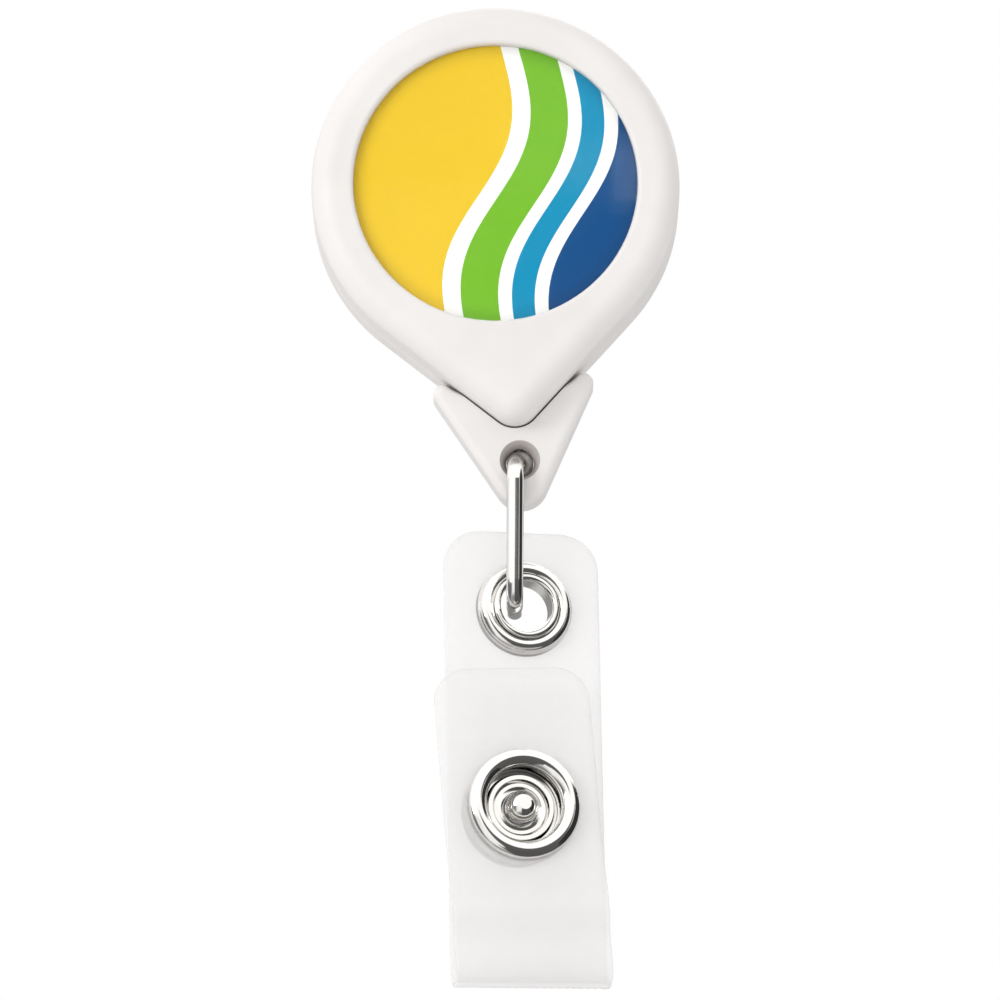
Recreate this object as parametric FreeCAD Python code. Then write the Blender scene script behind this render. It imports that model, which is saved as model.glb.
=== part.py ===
import FreeCAD
import Part
import math
import os

# Retractable badge reel: a teardrop case with a sprung cord spool, a yoke and wire link
# below it, a folded snap strap, and a bulldog clip behind. Millimetres.
# +Z up along the case's long axis, +X to the right seen from the front, front towards -Y.
# Origin: on the spindle axis, at the case's flat rear face. A depth is counted forwards
# from that face, so a depth d lies at y = -d. The clip lies behind it, at y above 0.

# ---- sizes shared between sections --------------------------------------------------
CASE_R = 16.0            # round part of the teardrop
TIP_R = 2.2              # rounded tip
TIP_DROP = 18.9          # spindle to the tip's centre
FLANK_ANGLE = math.asin((CASE_R - TIP_R) / TIP_DROP)
CASE_DEPTH = 9.2         # rear face to bezel
PARTING = 3.8            # depth of the parting plane, also the plane the cord runs in
SEAT = 7.6               # depth of the face the printed disc sits on
POST_END = 6.9           # depth of the spindle post's front end
SLOT_W = 0.5             # slots that hold the power spring's ends
CORD_R = 0.375
CORD_CORNER_Z = -17.7    # where the run from the spool meets the vertical run
KNOT_Z, KNOT_R = -22.65, 0.6
GUIDE_R, GUIDE_BORE_R, GUIDE_FLANGE_R = 1.0, 0.55, 1.6
GUIDE_TOP_Z, GUIDE_NECK_Z, GUIDE_LOW_Z = -17.85, -18.55, -20.6
RIVET_R = 1.2            # swivel rivet's shank
OVERSHOOT = 1.0          # how far a cutter runs past the face it opens
SHORT_OVERSHOOT = 0.5

Vec = FreeCAD.Vector
X_AXIS, Y_AXIS, Z_AXIS = Vec(1, 0, 0), Vec(0, 1, 0), Vec(0, 0, 1)


# ---- helpers ------------------------------------------------------------------------
def face_of(items, place):
    """A face from a closed outline: items are points or (middle, end) pairs for arcs."""
    edges, here = [], items[0]
    for item in items[1:] + [items[0]]:
        if isinstance(item[0], tuple):
            middle, end = item
            edges.append(Part.Arc(place(*here), place(*middle), place(*end)).toShape())
            here = end
        else:
            if math.dist(here, item) > 1e-7:
                edges.append(Part.makeLine(place(*here), place(*item)))
            here = item
    return Part.Face(Part.Wire(Part.__sortEdges__(edges)))


def slab(items, start, end):
    """An outline in x and z, from one depth to another."""
    return face_of(items, lambda x, z: Vec(x, -start, z)).extrude(Vec(0, start - end, 0))


def outward(solid):
    return solid if solid.Volume > 0 else solid.reversed()


def lathe(items, z=0.0):
    """A profile of (radius, y) turned about the axis along Y through x = 0 and z."""
    face = face_of(items, lambda radius, y: Vec(radius, y, z))
    return outward(face.revolve(Vec(0, 0, z), Y_AXIS, 360))


def disc(radius, start, end, x=0.0, z=0.0):
    """A cylinder along Y from one depth to another."""
    return Part.makeCylinder(radius, end - start, Vec(x, -start, z), Vec(0, -1, 0))


def rod_z(radius, low_z, high_z):
    """An upright cylinder in the cord's plane."""
    return Part.makeCylinder(radius, high_z - low_z, Vec(0, -PARTING, low_z), Z_AXIS)


def teardrop(offset=0.0):
    """The case's outline, grown by an offset."""
    big, small = CASE_R + offset, TIP_R + offset
    cos, sin = math.cos(FLANK_ANGLE), math.sin(FLANK_ANGLE)
    return [
        (big * cos, -big * sin),
        ((0.0, big), (-big * cos, -big * sin)),
        (-small * cos, -TIP_DROP - small * sin),
        ((0.0, -TIP_DROP - small), (small * cos, -TIP_DROP - small * sin)),
    ]


def edges_at(shape, y):
    """The edges that lie in the plane at y."""
    return [edge for edge in shape.Edges
            if all(abs(vertex.Y - y) < 1e-4 for vertex in edge.Vertexes)
            and abs(edge.CenterOfMass.y - y) < 1e-4]


def x_span(edge):
    return abs(edge.Vertexes[0].X - edge.Vertexes[1].X)


def z_span(edge):
    return abs(edge.Vertexes[0].Z - edge.Vertexes[1].Z)


def one(shape):
    """The single solid in a shape, cleaned."""
    shape = shape.removeSplitter()
    assert len(shape.Solids) == 1, len(shape.Solids)
    solid = shape.Solids[0]
    assert solid.isValid() and solid.Volume > 0
    return solid


def curve_through(points):
    curve = Part.BSplineCurve()
    curve.interpolate(points)
    return curve


def rod_path(points, radius):
    """The smooth path through the points, and a circle across its start."""
    curve = curve_through(points)
    tangent = curve.tangent(curve.FirstParameter)[0]
    ring = Part.Wire([Part.makeCircle(radius, points[0], tangent)])
    return Part.Wire([curve.toShape()]), ring


# ---- case halves --------------------------------------------------------------------
WALL = 1.4
FRONT_EDGE_R = 2.05
REAR_EDGE_R = 1.2
PARTING_CHAMFER = 0.12
CAVITY_END = 6.2         # depth of the front wall's inside
WINDOW_R = 12.35
WINDOW_EDGE_R = 0.4
WINDOW_EDGE_MID = 0.117  # the rounded edge's middle, in from its square corner
TIP_SOLID_Z = -17.8      # below this the tip is solid round the cord guide
BOSSES = [               # x, z, radius
    (9.85, 9.85, 1.0), (-9.85, 9.85, 1.0), (8.6, -10.7, 0.9), (-8.6, -10.7, 0.9)]
BOSS_SINK = 0.3          # how far bosses and post run into a wall
PEG_R, PEG_END = 0.55, 5.6
SOCKET_R, SOCKET_END = 0.62, 5.8
POST_R = 2.0
POST_ROOM, POST_END_ROOM = 0.08, 0.1
RIVET_HOLE_R, RIVET_HOLE_END = RIVET_R + 0.05, 4.0
RIVET_HEAD_ROOM_R = 1.5
POST_SLOT_X, POST_SLOT_LEN = 1.0, 1.4
POST_SLOT_START, POST_SLOT_DEPTH = 2.05, 6.0
GUIDE_ROOM, CORD_ROOM = 0.03, 0.05
CORD_EXIT_Z = -22.0


def case_cavity(start, end):
    above_tip = Part.makeBox(60, 60, 60, Vec(-30, -40, TIP_SOLID_Z))
    return slab(teardrop(-WALL), start, end).common(above_tip)


def guide_room():
    """The pocket for the cord guide and the cord's way out, cut from both halves."""
    room = rod_z(GUIDE_FLANGE_R + GUIDE_ROOM, GUIDE_NECK_Z - GUIDE_ROOM,
                 TIP_SOLID_Z + SHORT_OVERSHOOT)
    room = room.fuse(rod_z(GUIDE_R + GUIDE_ROOM, GUIDE_LOW_Z - GUIDE_ROOM, GUIDE_NECK_Z))
    return room.fuse(rod_z(GUIDE_BORE_R + CORD_ROOM, CORD_EXIT_Z, GUIDE_LOW_Z))


def front_case():
    front = slab(teardrop(), PARTING, CASE_DEPTH)
    front = front.makeFillet(FRONT_EDGE_R, edges_at(front, -CASE_DEPTH))
    front = front.makeChamfer(PARTING_CHAMFER, edges_at(front, -PARTING))
    front = front.cut(case_cavity(PARTING - SHORT_OVERSHOOT, CAVITY_END))
    front = front.cut(lathe([
        (0.0, -SEAT), (WINDOW_R, -SEAT), (WINDOW_R, -CASE_DEPTH + WINDOW_EDGE_R),
        ((WINDOW_R + WINDOW_EDGE_MID, -CASE_DEPTH + WINDOW_EDGE_MID),
         (WINDOW_R + WINDOW_EDGE_R, -CASE_DEPTH)),
        (WINDOW_R + WINDOW_EDGE_R, -CASE_DEPTH - OVERSHOOT), (0.0, -CASE_DEPTH - OVERSHOOT)]))
    for x, z, radius in BOSSES:
        front = front.fuse(disc(radius, PARTING, CAVITY_END + BOSS_SINK, x, z))
    for x, z, _ in BOSSES:
        front = front.cut(disc(SOCKET_R, PARTING - SHORT_OVERSHOOT, SOCKET_END, x, z))
    front = front.cut(disc(POST_R + POST_ROOM, CAVITY_END - SHORT_OVERSHOOT,
                           POST_END + POST_END_ROOM))
    return one(front.cut(guide_room()))


def rear_case():
    rear = slab(teardrop(), 0, PARTING)
    rear = rear.makeFillet(REAR_EDGE_R, edges_at(rear, 0))
    rear = rear.makeChamfer(PARTING_CHAMFER, edges_at(rear, -PARTING))
    rear = rear.cut(case_cavity(WALL, PARTING + SHORT_OVERSHOOT))
    rear = rear.fuse(disc(POST_R, WALL - BOSS_SINK, POST_END))
    for x, z, radius in BOSSES:
        rear = rear.fuse(disc(radius, WALL - BOSS_SINK, PARTING, x, z))
        rear = rear.fuse(disc(PEG_R, PARTING - SHORT_OVERSHOOT, PEG_END, x, z))
    rear = rear.cut(disc(RIVET_HOLE_R, -OVERSHOOT, RIVET_HOLE_END))
    rear = rear.cut(disc(RIVET_HEAD_ROOM_R, RIVET_HOLE_END, POST_END + OVERSHOOT))
    rear = rear.cut(Part.makeBox(
        POST_SLOT_LEN, POST_SLOT_DEPTH, SLOT_W,
        Vec(POST_SLOT_X, -POST_SLOT_START - POST_SLOT_DEPTH, -SLOT_W / 2)))
    return one(rear.cut(guide_room()))


# ---- label --------------------------------------------------------------------------
LABEL_R = 12.25
LABEL_THK = 0.4
DOME_EDGE = 0.35         # height of the dome's straight edge
DOME_RISE = 0.75


def label_disc():
    return disc(LABEL_R, SEAT, SEAT + LABEL_THK)


def label_dome():
    rear_y = -(SEAT + LABEL_THK)
    edge_y = rear_y - DOME_EDGE
    ball_r = (LABEL_R ** 2 + DOME_RISE ** 2) / (2 * DOME_RISE)
    half_angle = math.asin(LABEL_R / ball_r) / 2
    arc_middle = (ball_r * math.sin(half_angle),
                  edge_y - DOME_RISE + ball_r * (1 - math.cos(half_angle)))
    return one(lathe([
        (0.0, rear_y), (LABEL_R, rear_y), (LABEL_R, edge_y),
        (arc_middle, (0.0, edge_y - DOME_RISE))]))


# ---- cord wound on the spool --------------------------------------------------------
CORD_STEP = 0.8          # spacing of wraps and of layers
COIL_R = 8.9             # centreline of the innermost layer
COIL_LAYERS = 5
COIL_HALF = 1.05         # the centreline stays this far each side of the cord plane
STEP_UP_TURNS = 0.25     # part of a turn taken to climb to the next layer
POINTS_PER_TURN = 20
INNER_KNOT_R = 0.6
COIL_REACH = COIL_R + CORD_STEP * (COIL_LAYERS - 1)
COIL_LEAN = math.acos(COIL_REACH / -CORD_CORNER_Z)   # leaving point, from straight down


def coil_points():
    """The wound cord's centreline, from the drum outwards to where it leaves the spool."""
    spans = []           # turns, start and end radius, start and end offset in depth
    for layer in range(COIL_LAYERS):
        radius = COIL_R + CORD_STEP * layer
        last = layer == COIL_LAYERS - 1
        start = COIL_HALF if layer % 2 else -COIL_HALF
        end = 0.0 if last else -start
        spans.append((abs(end - start) / CORD_STEP, radius, radius, start, end))
        if not last:
            spans.append((STEP_UP_TURNS, radius, radius + CORD_STEP, end, end))
    total = sum(span[0] for span in spans)
    steps = int(round(total * POINTS_PER_TURN))
    points = []
    for i in range(steps + 1):
        wound = total * i / steps
        rest = wound
        for turns, r_start, r_end, start, end in spans:
            if rest <= turns + 1e-9:
                break
            rest -= turns
        part = min(max(rest / turns, 0.0), 1.0)
        eased = part * part * (3 - 2 * part)
        radius = r_start + (r_end - r_start) * eased
        offset = start + (end - start) * part
        angle = -math.pi / 2 + COIL_LEAN + 2 * math.pi * (total - wound)
        points.append(Vec(radius * math.cos(angle), -PARTING - offset,
                          radius * math.sin(angle)))
    return points


def cord_coil():
    points = coil_points()
    path, ring = rod_path(points, CORD_R)
    coil = path.makePipeShell([ring], True, True)
    return one(coil.fuse(Part.makeSphere(INNER_KNOT_R, points[0])))


# ---- spool, power spring and cover --------------------------------------------------
SPOOL_REAR, SPOOL_FRONT = 1.6, 6.0   # depths
FLANGE_THK = 0.7
FLANGE_R = 12.7
DRUM_R = 8.5
CUP_R = 7.6
CUP_END = SPOOL_FRONT - FLANGE_THK
COVER_R = 8.3
COVER_THK = 0.36
COVER_ROOM = 0.04
COVER_BORE_R = 2.3
COVER_INSET = 0.02
HUB_BORE_R = 2.06
PAD_R, PAD_RISE, PAD_SINK = 3.2, 0.15, 0.1   # raised ring round the hub's front
DRUM_SLOT_X, DRUM_SLOT_LEN = 7.4, 0.8
FLANGE_HOLES = 6
FLANGE_HOLE_R, FLANGE_HOLE_PITCH_R = 1.1, 10.6
FLANGE_HOLE_START, FLANGE_HOLE_END = 4.5, 7
INNER_KNOT_ROOM = 0.08
SPRING_REAR = 2.15       # depth
SPRING_W = 3.0
SPRING_THK = 0.15
SPRING_R_IN, SPRING_R_OUT, SPRING_TURNS = 2.35, 7.35, 10
SPRING_POINTS_PER_TURN = 24
SPRING_HOOK_IN, SPRING_HOOK_OUT = 1.45, 7.95   # x where its straight ends stop


def spool():
    opening = SPOOL_REAR - OVERSHOOT
    body = disc(DRUM_R, SPOOL_REAR, SPOOL_FRONT)
    body = body.fuse(disc(FLANGE_R, SPOOL_REAR, SPOOL_REAR + FLANGE_THK))
    body = body.fuse(disc(FLANGE_R, CUP_END, SPOOL_FRONT))
    body = body.fuse(disc(PAD_R, SPOOL_FRONT - PAD_SINK, SPOOL_FRONT + PAD_RISE))
    body = body.cut(disc(CUP_R, opening, CUP_END))
    body = body.cut(disc(COVER_R + COVER_ROOM, opening, SPOOL_REAR + COVER_THK + COVER_ROOM))
    body = body.cut(disc(HUB_BORE_R, opening, SPOOL_FRONT + OVERSHOOT))
    body = body.cut(Part.makeBox(DRUM_SLOT_LEN, CUP_END - SPOOL_REAR, SLOT_W,
                                 Vec(DRUM_SLOT_X, -CUP_END, -SLOT_W / 2)))
    for k in range(FLANGE_HOLES):
        angle = 2 * math.pi * (k + 0.5) / FLANGE_HOLES
        body = body.cut(disc(FLANGE_HOLE_R, FLANGE_HOLE_START, FLANGE_HOLE_END,
                             FLANGE_HOLE_PITCH_R * math.cos(angle),
                             FLANGE_HOLE_PITCH_R * math.sin(angle)))
    return one(body.cut(Part.makeSphere(INNER_KNOT_R + INNER_KNOT_ROOM, coil_points()[0])))


def spiral(offset):
    """One face of the spring strip: its edge and both end points."""
    points = []
    steps = SPRING_TURNS * SPRING_POINTS_PER_TURN
    for i in range(steps + 1):
        part = i / steps
        radius = SPRING_R_IN + (SPRING_R_OUT - SPRING_R_IN) * part + offset
        angle = 2 * math.pi * SPRING_TURNS * part
        points.append(Vec(radius * math.cos(angle), -SPRING_REAR, radius * math.sin(angle)))
    return curve_through(points).toShape(), points[0], points[-1]


def power_spring():
    half = SPRING_THK / 2
    inner, inner_start, inner_end = spiral(-half)
    outer, outer_start, outer_end = spiral(half)
    strip = Part.Face(Part.Wire(Part.__sortEdges__([
        inner, Part.makeLine(inner_end, outer_end),
        outer, Part.makeLine(outer_start, inner_start)])))
    spring = strip.extrude(Vec(0, -SPRING_W, 0))
    for x_start, x_end in ((SPRING_HOOK_IN, SPRING_R_IN), (SPRING_R_OUT, SPRING_HOOK_OUT)):
        spring = spring.fuse(Part.makeBox(x_end - x_start, SPRING_W, SPRING_THK,
                                          Vec(x_start, -SPRING_REAR - SPRING_W, -half)))
    return one(spring)


def spring_cover():
    cover = disc(COVER_R, SPOOL_REAR + COVER_INSET, SPOOL_REAR + COVER_THK)
    return one(cover.cut(disc(COVER_BORE_R, SPOOL_REAR - OVERSHOOT, SPOOL_REAR + 2)))


# ---- cord from the spool to the yoke, and its guide ---------------------------------
CORD_BEND_R = 2.0
LEAD_GAP = 0.03          # between the wound cord's end and this run
GUIDE_MOUTH_R = 0.5      # rounding at the bore's upper end


def cord_lead():
    leave_x = COIL_REACH * math.sin(COIL_LEAN)
    leave_z = -COIL_REACH * math.cos(COIL_LEAN)
    run_x, run_z = -leave_x, CORD_CORNER_Z - leave_z
    run_len = math.hypot(run_x, run_z)
    run_x, run_z = run_x / run_len, run_z / run_len
    turn = math.acos(-run_z)
    back = CORD_BEND_R * math.tan(turn / 2)
    bend_z = CORD_CORNER_Z - back
    mid_angle = math.pi - turn / 2

    start = Vec(leave_x + run_x * LEAD_GAP, -PARTING, leave_z + run_z * LEAD_GAP)
    bend_start = Vec(-run_x * back, -PARTING, CORD_CORNER_Z - run_z * back)
    bend_middle = Vec(CORD_BEND_R + CORD_BEND_R * math.cos(mid_angle), -PARTING,
                      bend_z + CORD_BEND_R * math.sin(mid_angle))
    bend_end = Vec(0, -PARTING, bend_z)
    knot = Vec(0, -PARTING, KNOT_Z)
    path = Part.Wire([Part.makeLine(start, bend_start),
                      Part.Arc(bend_start, bend_middle, bend_end).toShape(),
                      Part.makeLine(bend_end, knot)])
    ring = Part.Wire([Part.makeCircle(CORD_R, start, Vec(run_x, 0, run_z))])
    return one(path.makePipe(Part.Face(ring)).fuse(Part.makeSphere(KNOT_R, knot)))


def cord_guide():
    guide = rod_z(GUIDE_R, GUIDE_LOW_Z, GUIDE_TOP_Z)
    guide = guide.fuse(rod_z(GUIDE_FLANGE_R, GUIDE_NECK_Z, GUIDE_TOP_Z))
    bore = rod_z(GUIDE_BORE_R, GUIDE_LOW_Z - OVERSHOOT, GUIDE_TOP_Z + OVERSHOOT)
    guide = guide.cut(bore).removeSplitter()
    mouth = [edge for edge in guide.Edges if abs(edge.CenterOfMass.z - GUIDE_TOP_Z) < 1e-4
             and edge.Curve.Radius < GUIDE_BORE_R + 0.01]
    return one(guide.makeFillet(GUIDE_MOUTH_R, mouth))


# ---- yoke ---------------------------------------------------------------------------
YOKE_REAR, YOKE_FRONT = 1.8, 5.8     # depths
YOKE_GAP = 0.15          # clearance to the case
ARM_X, ARM_Z = 6.1, -17.6            # centre of an arm's rounded end
YOKE_HALF_ANGLE = math.radians(28.8)
YOKE_TIP_R = 2.37
YOKE_EDGE_R = 0.75       # the outer edges; the edges along the case stay crisp
BLEND_R = 2.0            # how an arm's rounded end runs into its crisp inner edge
ARM_ARC_ANGLE = 0.15     # a point on the arm's rounded end, radians from straight up
HOLE_Z = -24.1
HOLE_THROAT_R, HOLE_FACE_R = 1.2, 1.75
YOKE_CORD_ROOM, YOKE_KNOT_ROOM = 0.08, 0.07
CORD_HOLE_TOP_Z = -20.0
KNOT_HOLE_RISE = 0.6     # knot passage's lower end above the link hole's centre


def arm_end(direction, radius, side=1):
    return (side * (ARM_X + direction[0] * radius), ARM_Z + direction[1] * radius)


def yoke_outline():
    flank = (math.cos(FLANK_ANGLE), -math.sin(FLANK_ANGLE))
    slant = (math.cos(YOKE_HALF_ANGLE), -math.sin(YOKE_HALF_ANGLE))
    crown = (math.sin(ARM_ARC_ANGLE), math.cos(ARM_ARC_ANGLE))
    arm_r = flank[0] * ARM_X + flank[1] * ARM_Z - (CASE_R + YOKE_GAP)
    slant_reach = slant[0] * ARM_X + slant[1] * ARM_Z + arm_r
    tip_z = -(slant_reach - YOKE_TIP_R) / math.sin(YOKE_HALF_ANGLE)
    inner_x, inner_z = arm_end(flank, -arm_r)
    blend_x, blend_z = inner_x - BLEND_R * flank[0], inner_z - BLEND_R * flank[1]
    mid_angle = -(FLANK_ANGLE + math.pi / 2) / 2
    mid_x = blend_x + BLEND_R * math.cos(mid_angle)
    mid_z = blend_z + BLEND_R * math.sin(mid_angle)
    foot_z = blend_z - BLEND_R
    slant_x, slant_z = YOKE_TIP_R * slant[0], tip_z + YOKE_TIP_R * slant[1]
    return [
        (blend_x, foot_z),
        ((mid_x, mid_z), (inner_x, inner_z)),
        (arm_end(crown, arm_r), arm_end(slant, arm_r)),
        (slant_x, slant_z),
        ((0.0, tip_z - YOKE_TIP_R), (-slant_x, slant_z)),
        arm_end(slant, arm_r, -1),
        (arm_end(crown, arm_r, -1), (-inner_x, inner_z)),
        ((-mid_x, mid_z), (-blend_x, foot_z)),
    ]


def cord_yoke():
    yoke = slab(yoke_outline(), YOKE_REAR, YOKE_FRONT)
    yoke = yoke.makeFillet(YOKE_EDGE_R,
                           edges_at(yoke, -YOKE_REAR) + edges_at(yoke, -YOKE_FRONT))
    yoke = yoke.cut(slab(teardrop(YOKE_GAP), YOKE_REAR - OVERSHOOT, YOKE_FRONT + OVERSHOOT))
    yoke = yoke.cut(lathe([
        (0.0, -YOKE_REAR + OVERSHOOT), (HOLE_FACE_R, -YOKE_REAR + OVERSHOOT),
        (HOLE_FACE_R, -YOKE_REAR),
        ((HOLE_THROAT_R, -PARTING), (HOLE_FACE_R, -YOKE_FRONT)),
        (HOLE_FACE_R, -YOKE_FRONT - OVERSHOOT), (0.0, -YOKE_FRONT - OVERSHOOT)], HOLE_Z))
    knot_room_r = KNOT_R + YOKE_KNOT_ROOM
    yoke = yoke.cut(rod_z(CORD_R + YOKE_CORD_ROOM, KNOT_Z, CORD_HOLE_TOP_Z))
    yoke = yoke.cut(Part.makeSphere(knot_room_r, Vec(0, -PARTING, KNOT_Z)))
    return one(yoke.cut(rod_z(knot_room_r, HOLE_Z + KNOT_HOLE_RISE, KNOT_Z)))


# ---- wire link ----------------------------------------------------------------------
WIRE_R = 0.73
LINK_LEN = 12.66         # wire centre to wire centre
LINK_HALF = 3.1          # half the spacing of the two legs
LINK_CORNER_R = 1.9
LINK_TOP_X, LINK_TOP_Z = -0.38, -24.12
LINK_TILT = 5.4          # how far the link hangs out of line with the case, degrees


def wire_link():
    bar_half = LINK_HALF - LINK_CORNER_R
    bars = [Part.makeCylinder(WIRE_R, 2 * bar_half, Vec(0, -bar_half, z), Y_AXIS)
            for z in (0, -LINK_LEN)]
    link = bars[0].fuse(bars[1])
    for y in (-LINK_HALF, LINK_HALF):
        link = link.fuse(Part.makeCylinder(WIRE_R, LINK_LEN - 2 * LINK_CORNER_R,
                                           Vec(0, y, -LINK_LEN + LINK_CORNER_R), Z_AXIS))
    for side in (-1, 1):
        for top in (True, False):
            y = side * bar_half
            bar_z = 0 if top else -LINK_LEN
            centre_z = -LINK_CORNER_R if top else -LINK_LEN + LINK_CORNER_R
            face = Part.Face(Part.Wire([Part.makeCircle(WIRE_R, Vec(0, y, bar_z), Y_AXIS)]))
            angle = 90 if (side < 0) == top else -90
            link = link.fuse(face.revolve(Vec(0, y, centre_z), X_AXIS, angle))
    link = one(link)
    link.Placement = FreeCAD.Placement(Vec(LINK_TOP_X, -PARTING, LINK_TOP_Z),
                                       FreeCAD.Rotation(Y_AXIS, LINK_TILT))
    return link


# ---- strap, in its own frame: origin at the eyelet's centre, y = 0 mid back layer ---
STRAP_YAW, STRAP_ROCK, STRAP_TILT = 13.2, -5.0, 5.06   # degrees about Z, X and Y
EYELET_DX, EYELET_DZ = 0.82, -0.03   # eyelet's centre from the wire
STRAP_W = 13.7
STRAP_HALF_THK = 0.45 / 2
STRAP_TOP = 6.89
STRAP_CORNER_R = 3.3
STRAP_MID_X = -0.2
LAYER_GAP = 3.2          # spacing of the two layers' middles
FOLD_Z = -33.78          # lowest point of the fold's middle
FOLD_R = LAYER_GAP / 2
FOLD_CUT = 0.5           # each layer stops this far short of the fold's lowest line
FOLD_CENTRE = Vec(0, -FOLD_R, FOLD_Z + FOLD_R)
FLAP_TOP = -6.19
FLAP_MID_X = STRAP_MID_X - 0.22
FLAP_CORNER_R = 3.0
FLAP_SKEW = 3.6          # degrees
SNAP_X, SNAP_Z = -1.19, -18.4
STUD_HOLE_R, RING_HOLE_R = 0.75, 3.56
EYE_R, EYE_BARREL_R, EYE_OUT_R = 2.3, 2.62, 4.18
EYE_ROOM = 0.06


def strap_layer(mid_x, top, corner_r, mid_y, fold_sign):
    """A strip with two rounded upper corners, and its half of the fold below."""
    left, right = mid_x - STRAP_W / 2, mid_x + STRAP_W / 2
    rear_y, front_y = mid_y + STRAP_HALF_THK, mid_y - STRAP_HALF_THK
    inset = corner_r * (1 - math.sqrt(0.5))
    strip = face_of([
        (left, FOLD_CENTRE.z), (left, top - corner_r),
        ((left + inset, top - inset), (left + corner_r, top)), (right - corner_r, top),
        ((right - inset, top - inset), (right, top - corner_r)), (right, FOLD_CENTRE.z)],
        lambda x, z: Vec(x, front_y, z)).extrude(Vec(0, rear_y - front_y, 0))
    section = face_of([(left, front_y), (right, front_y), (right, rear_y), (left, rear_y)],
                      lambda x, y: Vec(x, y, FOLD_CENTRE.z))
    sweep_angle = 90 - math.degrees(FOLD_CUT / FOLD_R)
    fold = section.revolve(FOLD_CENTRE, X_AXIS, -fold_sign * sweep_angle)
    return strip.fuse(outward(fold))


def punch(shape, radius, x, mid_y, z):
    return shape.cut(Part.makeCylinder(radius, 4, Vec(x, mid_y - 2, z), Y_AXIS))


def strap_back():
    layer = strap_layer(STRAP_MID_X, STRAP_TOP, STRAP_CORNER_R, 0.0, 1)
    layer = punch(layer, EYE_BARREL_R + EYE_ROOM, 0, 0, 0)
    return punch(layer, STUD_HOLE_R, SNAP_X, 0, SNAP_Z)


def strap_flap():
    layer = strap_layer(FLAP_MID_X, FLAP_TOP, FLAP_CORNER_R, -LAYER_GAP, -1)
    layer.rotate(Vec(FLAP_MID_X, 0, FOLD_Z), Y_AXIS, -FLAP_SKEW)
    return punch(layer, RING_HOLE_R, SNAP_X, -LAYER_GAP, SNAP_Z)


# ---- grommet: an eyelet from behind, rolled over a domed washer in front ------------
# All turned profiles below are (radius, y), with (middle, end) pairs for arcs.
CURL_R = EYE_R + 0.6
BACK_REAR, BACK_FRONT = STRAP_HALF_THK, -STRAP_HALF_THK   # the back layer's faces, y


def grommet_eyelet():
    return lathe([
        (EYE_R, 0.9), (EYE_R, -1.0), ((EYE_R + 0.28, -1.33), (CURL_R, -1.0)),
        (CURL_R, -0.74), (EYE_BARREL_R, -0.74), (EYE_BARREL_R, BACK_REAR),
        (EYE_OUT_R, BACK_REAR), (EYE_OUT_R, BACK_REAR + 0.12),
        ((3.25, BACK_REAR + 0.66), (EYE_R, 0.9))])


def grommet_washer():
    return lathe([
        (EYE_BARREL_R + 0.05, BACK_FRONT), (EYE_BARREL_R + 0.05, -0.72),
        (CURL_R + 0.04, -0.72), (CURL_R + 0.1, -1.0), ((3.55, -1.16), (4.04, -0.64)),
        ((4.13, -0.5), (EYE_OUT_R, -0.36)), (EYE_OUT_R, BACK_FRONT)])


# ---- snap: stud and rivet on the back layer; socket, spring and ring on the flap ----
BALL_R, BALL_Y, NECK_R = 1.4, -2.7, 1.0
BALL_FLAT_R = 0.55       # flat on the ball's front
SNAP_WIRE_R, SNAP_WIRE_RING_R, SNAP_WIRE_Y = 0.18, 1.47, -1.78
SNAP_WIRE_ANGLE = 325    # the ring is open over the rest of the turn
SOCKET_OUT_R = 4.95
RING_IN_R, RING_OUT_R = 3.3, 4.88
FLAP_REAR, FLAP_FRONT = -LAYER_GAP + STRAP_HALF_THK, -LAYER_GAP - STRAP_HALF_THK   # y


def at_snap(shape):
    shape.translate(Vec(SNAP_X, 0, SNAP_Z))
    return shape


def snap_stud():
    neck_y = BALL_Y + math.sqrt(BALL_R ** 2 - NECK_R ** 2)
    flat_y = BALL_Y - math.sqrt(BALL_R ** 2 - BALL_FLAT_R ** 2)
    return at_snap(lathe([
        (0.7, BACK_FRONT), (3.9, BACK_FRONT), (3.9, -0.42), ((3.2, -0.62), (2.4, -0.6)),
        (1.5, -0.6), ((1.15, -0.7), (NECK_R, -1.0)), (NECK_R, neck_y),
        ((BALL_R, BALL_Y), (BALL_FLAT_R, flat_y)), (0.0, flat_y), (0.0, -1.9), (0.7, -1.9)]))


def snap_stud_rivet():
    return at_snap(lathe([
        (0.0, -1.82), (0.65, -1.82), (0.65, BACK_REAR), (4.6, BACK_REAR),
        (4.6, BACK_REAR + 0.16), ((3.2, BACK_REAR + 0.5), (1.4, BACK_REAR + 0.55)),
        (1.2, BACK_REAR + 0.35), (0.0, BACK_REAR + 0.35)]))


def snap_socket():
    return at_snap(lathe([
        (1.55, -1.5), (4.5, -1.5), ((4.84, -1.62), (SOCKET_OUT_R, -1.95)),
        (SOCKET_OUT_R, FLAP_REAR), (3.85, FLAP_REAR), (3.85, -1.92), (3.1, -1.92),
        (3.05, -2.02), (2.86, -2.42), (2.5, -2.42), (2.25, -1.98), (1.95, -1.98),
        (1.7, -2.06), (1.55, -2.02), (1.55, -1.98), (1.75, -1.96), (1.75, -1.58),
        (1.55, -1.58)]))


def snap_spring():
    circle = Part.makeCircle(SNAP_WIRE_R, Vec(SNAP_WIRE_RING_R, SNAP_WIRE_Y, 0), Z_AXIS)
    face = Part.Face(Part.Wire([circle]))
    return at_snap(outward(face.revolve(Vec(0, 0, 0), Y_AXIS, SNAP_WIRE_ANGLE)))


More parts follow.
